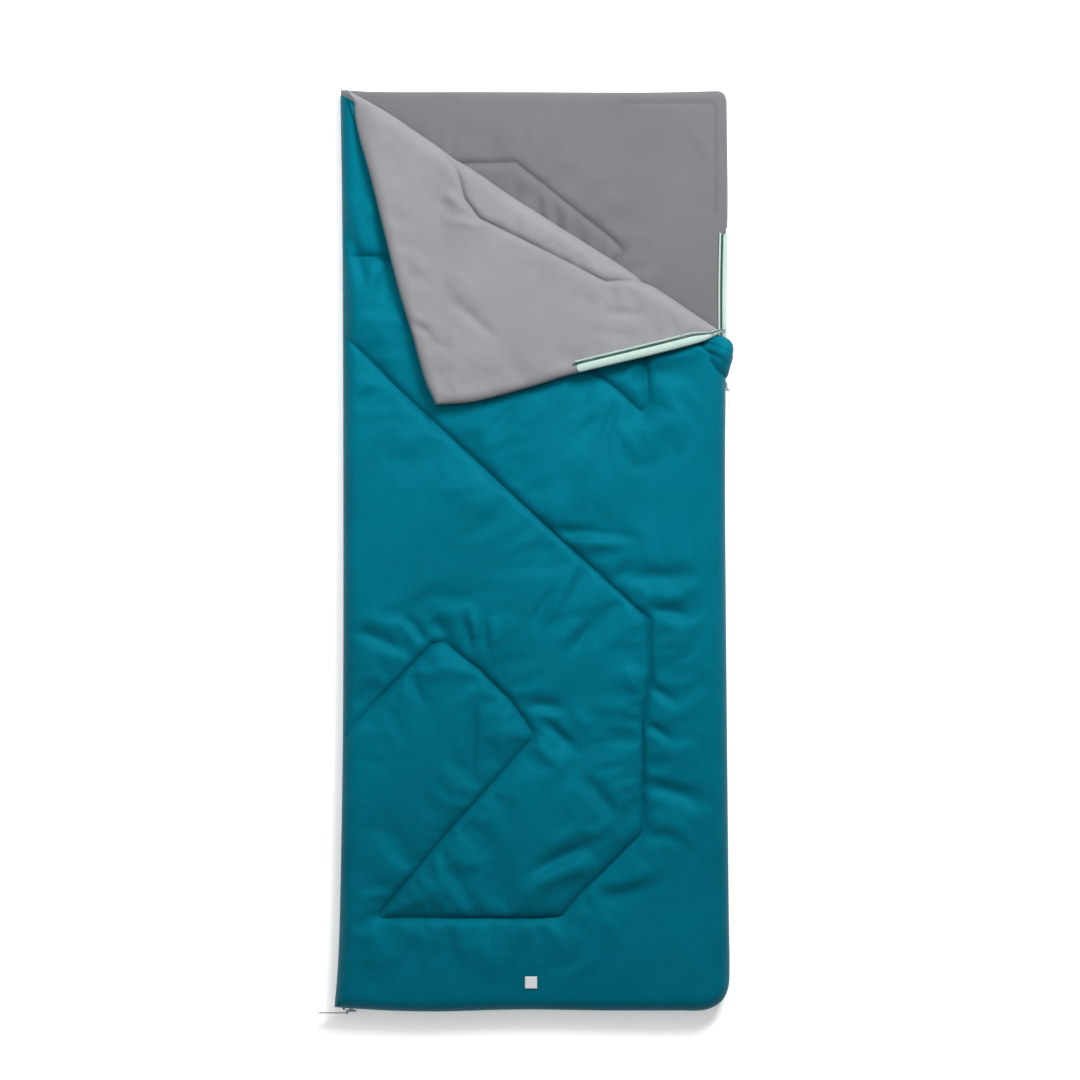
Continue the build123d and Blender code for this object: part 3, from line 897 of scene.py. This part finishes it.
def blend_fold(piece):
    """Cloth that crosses the fold, with its transform baked into its points."""
    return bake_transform(piece)


def surface_of(obj, faces):
    """A tree that rays can be cast on."""
    return BVHTree.FromPolygons([tuple(p) for p in coordinates(obj)], [tuple(map(int, f)) for f in faces])


flap_surface = surface_of(flap_cloth, flap.faces)
bottom_surface = surface_of(bottom_lining, bottom.faces)
top_surface = surface_of(top_shell, top.faces)

axis_right = AXIS_POINT[:2] + AXIS_RUN * (HALF_FOLD - 8 * MM)
axis_left = AXIS_POINT[:2] - AXIS_RUN * (HALF_FOLD - 16 * MM)
shell_corner = [axis_right, axis_left]
shell_ring = np.vstack([flap_head_edge, flap_zip_edge[1:-1], shell_corner])
flap_under = Cloth(shell_ring, [flap_quilt], 11 * MM, (0.0015, 0.004, 0.009))
hem = gap_to(flap_under.flat, flap_head_edge, flap_zip_edge)
rim = AXIS_UP + roll_radius(unroll(flap_under.flat)[:, 0]) - 8 * MM
flap_level = FLAP_BASE + 0.8 * MM
height = pillow(hem, rim, flap_level, 16 * MM) + groove(flap_under.seam, 6 * MM, 14 * MM)
height = np.where(hem < 16 * MM, np.minimum(height, np.maximum(rim, flap_level)), height)
flap_points = at_height(flap_under.flat, height)
flap_shell = make_mesh("flap_shell", flap_points, flap_under.faces[:, ::-1], shell_fabric)

for piece in (top_shell, top_lining, bottom_lining, bottom_shell, flap_cloth, flap_shell):
    thicken(piece, CLOTH_THICK)
blend_fold(flap_cloth)
quilted(top_shell, "bag", ["top_outer_shell", "top_insulation"], "shell_fabric")
quilted(bottom_lining, "bag", ["bottom_lining", "bottom_insulation"], "lining_fabric")
quilted(flap_cloth, None, ["flap_lining", "flap_insulation"], "lining_fabric")
quilted(top_lining, "bag", ["top_lining"], "lining_fabric")
quilted(bottom_shell, "bag", ["bottom_outer_shell"], "shell_fabric")
quilted(flap_shell, "flap", ["flap_outer_shell"], "shell_fabric")


# ---------------- long thin pieces
def height_over(surface, places, fallback):
    """Height of a surface above each plane place."""
    out = np.full(len(places), np.nan)
    for i, (x, y) in enumerate(places):
        hit = surface.ray_cast(Vector((x, y, 0.3)), Vector((0, 0, -1)))
        if hit[0] is not None:
            out[i] = hit[0].z
    return np.where(np.isnan(out), fallback, out)


def smoothed(values, reach):
    """Moving average along a line."""
    if reach < 1:
        return values
    padded = np.concatenate([np.full(reach, values[0]), values, np.full(reach, values[-1])])
    return np.convolve(padded, np.ones(2 * reach + 1) / (2 * reach + 1), "valid")


def strip(name, rows, thickness, material):
    """A closed band from rows of points, given a thickness along its normal."""
    rows = [np.asarray(r) for r in rows]
    n, m = len(rows), len(rows[0])
    top_points = np.array(rows).reshape(-1, 3)
    grid = top_points.reshape(n, m, 3)
    du = np.gradient(grid, axis=0)
    dv = np.gradient(grid, axis=1)
    normal = unit_rows(np.cross(du, dv).reshape(-1, 3))
    points = np.vstack([top_points, top_points - normal * thickness])
    faces, k = [], n * m
    for i in range(n - 1):
        for j in range(m - 1):
            a, b, c, d = i * m + j, i * m + j + 1, (i + 1) * m + j + 1, (i + 1) * m + j
            faces += [(a, d, c, b), (a + k, b + k, c + k, d + k)]
    ring = list(range(m)) + [i * m + m - 1 for i in range(1, n)]
    ring += [(n - 1) * m + j for j in range(m - 2, -1, -1)] + [i * m for i in range(n - 2, 0, -1)]
    faces += [(a, b, b + k, a + k) for a, b in zip(ring, ring[1:] + ring[:1])]
    return make_mesh(name, points, faces, material)


def tube(name, line, radius, material, sides=8):
    """A round cord-like piece along a line of points."""
    line = np.asarray(line)
    tangent = unit_rows(np.gradient(line, axis=0))
    side = unit_rows(np.cross(tangent, [0, 0, 1.0]))
    up = np.cross(side, tangent)
    radius = np.broadcast_to(radius, len(line))[:, None]
    turns = np.linspace(0, 2 * math.pi, sides, endpoint=False)
    points = np.vstack([line + radius * (math.cos(a) * side + math.sin(a) * up) for a in turns])
    n = len(line)
    faces = []
    for k in range(sides):
        a, b = k * n, ((k + 1) % sides) * n
        faces += [(a + i, b + i, b + i + 1, a + i + 1) for i in range(n - 1)]
    faces += [tuple(k * n for k in range(sides))[::-1], tuple(k * n + n - 1 for k in range(sides))]
    return make_mesh(name, points, faces, material)


def resampled(at, run, line):
    """Values along a line at new distances."""
    return np.column_stack([np.interp(at, run, line[:, k]) for k in range(line.shape[1])])


def coil(name, line, across, width, tall, pitch, thread, material):
    """A coil zip row: loops of nylon wound along a line, across it and upright."""
    steps = 8
    run = run_along(line)
    t = np.arange(int(run[-1] / pitch) * steps + 1) / steps
    angle = 2 * math.pi * t
    sideways = resampled(t * pitch, run, across) * (width / 2) * np.cos(angle)[:, None]
    path = resampled(t * pitch, run, line) + at_height(sideways, (tall / 2) * np.sin(angle))
    return tube(name, path, thread, material, 5)


def stitches(name, lines, material, length=4.6 * MM, gap=1.0 * MM, radius=0.5 * MM):
    """Runs of thread, one short capsule for each stitch."""
    points, faces = [], []
    for line in lines:
        step = length + gap
        fine = spaced(line, step)
        for a, b in zip(fine, fine[1:]):
            d = b - a
            reach = np.linalg.norm(d)
            if reach < 1e-5:
                continue
            d = d / reach
            side = unit(np.cross(d, [0, 0, 1.0]))
            up = np.cross(side, d)
            centre = (a + b) / 2
            base = len(points)
            for t, r in ((-1.0, 0.25), (-0.8, 0.9), (0.8, 0.9), (1.0, 0.25)):
                for k in range(6):
                    turn = math.pi * k / 3
                    outward = math.cos(turn) * side + math.sin(turn) * up
                    points.append(centre + d * t * length / 2 + radius * r * outward)
            for ring in range(3):
                for k in range(6):
                    p = base + ring * 6 + k
                    q = base + ring * 6 + (k + 1) % 6
                    faces.append((p, p + 6, q + 6, q))
            faces += [tuple(base + k for k in range(6)), tuple(base + 18 + k for k in range(5, -1, -1))]
    return make_mesh(name, points, faces, material)


def on_surface(line, surface, fallback, raise_by, reach=1):
    """A plane line laid on a surface."""
    z = smoothed(height_over(surface, line, fallback), reach) + raise_by
    return np.column_stack([line, z])


def kept(line, test):
    """The longest run of a line's points that pass a test."""
    best, run = [], []
    for p, ok in zip(line, test):
        run = run + [p] if ok else []
        best = run if len(run) > len(best) else best
    return np.array(best)


THREAD = 0.35 * MM
STITCH_ROW = 4 * MM


def seam_rows(cloth, surface, fallback):
    long_seams = [row for row in cloth.seams if len(row) > 3]
    return [on_surface(spaced(row, STITCH_ROW), surface, fallback, THREAD) for row in long_seams]


# Dark thread along the seams: partly the thread's colour, partly painted seam shade
thread_top = stitches("quilt_thread_top", seam_rows(top, top_surface, TOP_TOP), thread_teal_and_seam_shade)
belongs(thread_top, "bag", "shell_thread", "quilt_stitching_top")
thread_bottom = stitches("quilt_thread_bottom", seam_rows(bottom, bottom_surface, BOTTOM_TOP), thread_grey_and_seam_shade)
belongs(thread_bottom, "bag", "lining_thread", "quilt_stitching_bottom")
flap_row = spaced(flap_quilt, STITCH_ROW)
flap_row = kept(flap_row, unroll(flap_row)[:, 1] > 2 * MM)
flap_row = on_surface(flap_row, flap_surface, FLAP_TOP, THREAD)
thread_flap = stitches("quilt_thread_flap", [flap_row], thread_grey_and_seam_shade)
belongs(thread_flap, "flap", "lining_thread", "quilt_stitching_flap")

# ---------------- zip on the turned-back corner
WEBBING = 14.8 * MM
COIL = 4.6 * MM
TAPE = 3.4 * MM
TAPE_THICK = 1.2 * MM
WEBBING_THICK = 1.3 * MM
# Coil rows: width, height, pitch, radius of the nylon, material
OPEN_COIL = (COIL * 0.82, 2.4 * MM, 2.3 * MM, 0.62 * MM, coil_plastic)
SHUT_COIL = (2.6 * MM, 2.4 * MM, 2.4 * MM, 0.55 * MM, coil_plastic)
ZIP_REACH = (395, 446)
zip_line = spaced(np.vstack([mm([ZIP_REACH]), flap_zip_edge[::-1]]), 3 * MM)
run = run_along(zip_line)
zip_line, run = zip_line[run < FLAP_ZIP_LENGTH + 12 * MM], run[run < FLAP_ZIP_LENGTH + 12 * MM]
zip_in = side_of(zip_line)
zip_middle = len(zip_line) // 2
if zip_in[zip_middle] @ (mm((0, 500)) - zip_line[zip_middle]) < 0:
    zip_in = -zip_in
zip_width = 0.28 + 0.72 * smooth(run / (75 * MM))
crest_place = zip_line + zip_in * (WEBBING * zip_width)[:, None]
zip_crest = smoothed(height_over(flap_surface, crest_place, FLAP_HEM_Z), 6)


def flap_offset(inset, raise_by):
    """A line beside the zip edge, over the rounded rim of the lining."""
    place = zip_line + zip_in * (inset * zip_width)[:, None]
    rounded = 1 - np.clip((inset + 1.5 * MM) / (17 * MM), 0, 1)
    level = zip_crest - 7 * MM * (1 - math.sqrt(1 - rounded**2))
    lining = smoothed(height_over(flap_surface, place, 0.0), 4) - 0.8 * MM
    return np.column_stack([place, np.maximum(level, lining) + raise_by])


rows = []
half = WEBBING / 2 + 1.0 * MM
for across_at in np.linspace(-0.98, 0.98, 11):
    row = flap_offset(WEBBING / 2 + half * across_at, 1.9 * MM + 0.8 * MM * (1 - across_at**2))
    along = run_along(row)
    reach = along[-1] - half * (1 - math.sqrt(1 - across_at**2))
    at = np.linspace(0, reach, len(row))
    rows.append(resampled(at, along, row))
flap_webbing = strip("flap_zip_webbing", rows, WEBBING_THICK, webbing_fabric)
belongs(flap_webbing, "flap", "webbing", "zip_webbing_flap")

coil_line = flap_offset(WEBBING + COIL / 2 + 0.6 * MM, 2.0 * MM)
flap_coil = coil("flap_zip_coil", coil_line, zip_in, *OPEN_COIL)
belongs(flap_coil, "flap", "zip_coil", "zip_coil_flap")
inner = WEBBING + COIL + 1.2 * MM
rows = []
for t in np.linspace(0, 1, 4):
    rows.append(flap_offset(inner + TAPE * t, 2.0 * MM + 0.5 * MM * math.sin(math.pi * t)))
flap_tape = strip("flap_zip_tape", rows, TAPE_THICK, zip_tape_fabric)
belongs(flap_tape, "flap", "zip_tape", "zip_tape_flap")
stop_line = np.array([coil_line[-1], coil_line[-1] + (coil_line[-1] - coil_line[-3]) * 0.9])
flap_stop = tube("flap_zip_top_stop", spaced(stop_line, 1 * MM), 2.1 * MM, coil_plastic, 10)
belongs(flap_stop, "flap", "zip_coil", "zip_top_stop_flap")

# ---------------- open zip half on the bottom panel
open_line = spaced(right_upper, 3 * MM)
open_line = open_line[open_line[:, 1] < ZIP_TOP_Y + 4 * MM]
open_in = side_of(open_line)
if open_in[0, 0] > 0:
    open_in = -open_in

# Where each line of the zip lies (mm): in from the edge, and up from the hem
WEBBING_PROFILE = [(-2.8, -2.5), (-2.4, 2.5), (-1.4, 6.0), (0.6, 8.1), (3.0, 8.7), (5.0, 8.1), (6.2, 6.7)]
OPEN_COIL_PLACE = (8.6, 8.6)
OPEN_TAPE_IN = 11.2
OPEN_TAPE_UP = 10.6
TAPE_CROWN = 0.4


def beside_opening(inset, rise):
    return at_height(open_line + open_in * inset * MM, HEM_Z + rise * MM)


rows = [beside_opening(*at) for at in WEBBING_PROFILE]
open_webbing = strip("open_zip_webbing", rows, WEBBING_THICK, webbing_fabric)
belongs(open_webbing, "bag", "webbing", "zip_webbing_bottom")
rows = []
for t in np.linspace(0, 1, 4):
    rows.append(beside_opening(OPEN_TAPE_IN + 3.4 * t, OPEN_TAPE_UP + TAPE_CROWN * math.sin(math.pi * t)))
open_tape = strip("open_zip_tape", rows, TAPE_THICK, zip_tape_fabric)
belongs(open_tape, "bag", "zip_tape")
open_coil = coil("open_zip_coil", beside_opening(*OPEN_COIL_PLACE), open_in, *OPEN_COIL)
belongs(open_coil, "bag", "zip_coil")

# ---------------- closed zip, side and foot
closed_line = spaced(zip_edge, 4 * MM)
closed_line = closed_line[closed_line[:, 1] < ZIP_OPEN_Y]
# The zip keeps to the sliders' straight paths where the cloth bulges past it
ZIP_FACE = 0.7 * MM
zip_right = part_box("zip_coil_lower_side")[1][0] + ZIP_FACE
zip_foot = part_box("zip_coil_lower_foot")[0][1] - ZIP_FACE
closed_line[:, 0] = np.minimum(closed_line[:, 0], zip_right)
closed_line[:, 1] = np.maximum(closed_line[:, 1], zip_foot)
outward = side_of(closed_line)
if outward[len(outward) // 8] @ np.array([0, -1.0]) < 0:
    outward = -outward
start = int(np.argmax(closed_line[:, 0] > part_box("zip_tape_lower_foot")[0][0]))
closed_line, outward = closed_line[start:], outward[start:]
corner_at = int(np.argmax(closed_line[:, 1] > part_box("zip_tape_lower_side")[0][1]))
stretches = {"foot": slice(0, corner_at + 1), "side": slice(corner_at, len(closed_line))}
# Lines of a closed half (mm): out from the edge, and away from the middle of the zip
SHUT_TAPE = ((-6.5, 9.5), (-4.6, 7.6), (-3.4, 5.4), (-3.2, 2.6))
SHUT_COIL_OUT, SHUT_COIL_RISE = -2.7, 1.35
for part, span in stretches.items():
    line, out = closed_line[span], outward[span]
    for level, sign in (("lower", -1), ("upper", 1)):
        rows = [at_height(line + out * far * MM, ZIP_MID + sign * rise * MM) for far, rise in SHUT_TAPE]
        rows = rows if sign > 0 else rows[::-1]
        tape = strip(f"zip_tape_{level}_{part}_cloth", rows, 1.0 * MM, zip_tape_fabric)
        belongs(tape, "bag", "zip_tape", f"zip_tape_{level}_{part}")
        base = at_height(line + out * SHUT_COIL_OUT * MM, ZIP_MID + sign * SHUT_COIL_RISE * MM)
        row = coil(f"zip_coil_{level}_{part}_row", base, out, *SHUT_COIL)
        belongs(row, "bag", "zip_coil", f"zip_coil_{level}_{part}")

# ---------------- gathered cloth where the zip opens
# Sections of the lump that the top panel makes as it turns over (mm): x, y, z, half width, half height
GATHER = [
    (386, 350, 40, 8, 4), (385, 359, 44, 17, 10), (384, 373, 50, 22, 18), (386, 390, 55, 25, 22),
    (387, 406, 58, 27, 23), (385, 420, 60, 28, 19), (380, 432, 61, 26, 13), (370, 442, 61, 18, 7),
]
# Creases round it: place along it, depth, width
CREASES = [(0.66, 0.24, 0.034), (0.44, 0.13, 0.040), (0.55, -0.07, 0.045)]
sections = curve_through(mm(GATHER), 9)
turns = np.linspace(0, 2 * math.pi, 48, endpoint=False)
shares = np.linspace(0, 1, len(sections))
rings = []
for share, (x, y, z, wide, tall) in zip(shares, sections):
    slant = share + 0.10 * np.cos(turns) + 0.03 * np.sin(2 * turns)
    size = 1 + 0.02 * np.sin(3 * turns + 7 * share)
    for place, depth, width in CREASES:
        fade = 0.55 + 0.45 * np.cos(turns - 6 * place)
        size -= depth * fade * np.exp(-(((slant - place) / width) ** 2))
    lean = 0.82 + 0.18 * np.cos(turns)
    leftward = np.maximum(-np.cos(turns), 0)
    reach = wide * size * (1 + 0.22 * leftward)
    rise = tall * lean * size * (1 - 0.55 * leftward**2)
    ring = [x + reach * np.cos(turns), np.full(len(turns), y), z + rise * np.sin(turns)]
    rings.append(np.column_stack(ring))
around, count = len(turns), len(rings)
faces = [
    (i * around + k, i * around + (k + 1) % around, (i + 1) * around + (k + 1) % around, (i + 1) * around + k)
    for i in range(count - 1) for k in range(around)
]
faces += [tuple(range(around))[::-1], tuple((count - 1) * around + k for k in range(around))]
gather = make_mesh("gathered_shell", np.vstack(rings), faces, shell_fabric)
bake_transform(gather)

# ---------------- hems, side seam, patch
flap_hem_line = spaced(flap_head_edge[6:], 5 * MM)
hem_height = AXIS_UP + roll_radius(unroll(flap_hem_line)[:, 0]) - 8.5 * MM
flap_hem_line = at_height(flap_hem_line, hem_height)
flap_hem = tube("flap_head_hem", flap_hem_line, 2.4 * MM, hem_fabric, 10)
belongs(flap_hem, "flap", "hem_binding", "head_hem_flap")
above_zip = right_upper[right_upper[:, 1] > ZIP_TOP_Y + 10 * MM]
bottom_hem_line = spaced(np.vstack([above_zip, head_corner, head_edge]), 5 * MM)
bottom_hem_line = at_height(bottom_hem_line, HEM_Z - 0.5 * MM)
bottom_hem = tube("bottom_head_hem", bottom_hem_line, 2.8 * MM, inner_hem_fabric, 10)
belongs(bottom_hem, "bag", "hem_binding", "head_hem_bottom")
seam_line = spaced(left_edge[1:-1], 6 * MM) + [3.2 * MM, 0]
seam_line = at_height(seam_line, ZIP_MID)
side_seam = tube("left_side_piping", seam_line, 3.6 * MM, shell_fabric, 10)
belongs(side_seam, "bag", "shell_fabric", "left_side_seam")

PATCH = 12.5 * MM
grid = np.linspace(-PATCH, PATCH, 12)
rows = []
for v in grid:
    row = np.column_stack([patch_mid[0] + grid, np.full(12, patch_mid[1] + v)])
    rows.append(on_surface(row, top_surface, TOP_TOP, 2.4 * MM, 3))
level = np.mean([r[:, 2] for r in rows])
rows = [np.column_stack([r[:, :2], 0.4 * r[:, 2] + 0.6 * level]) for r in rows]
patch = strip("woven_patch", rows[::-1], 0.8 * MM, patch_fabric)
belongs(patch, "bag", "patch_fabric", "sewn_patch")

for piece in ("side_slider", "foot_slider", "side_pull_tab", "foot_pull_tab"):
    frame["nodes"][piece].data.materials.clear()
    frame["nodes"][piece].data.materials.append(slider_metal)
for piece in ("zip_top_stop_bottom", "zip_end_stop"):
    frame["nodes"][piece].data.materials.clear()
    frame["nodes"][piece].data.materials.append(coil_plastic)

# ---------------- floor
FLOOR_SIDE = 14.0
bpy.ops.mesh.primitive_plane_add(size=FLOOR_SIDE, location=(0, 0, 0))
floor = bpy.context.object
floor.name = "floor"
paint, tree, shader = new_material("floor", 0.9)
shader.inputs["Base Color"].default_value = (0.96, 0.96, 0.96, 1)
shader.inputs["Emission Color"].default_value = (1, 1, 1, 1)
shader.inputs["Emission Strength"].default_value = 0.26
floor.data.materials.append(paint)
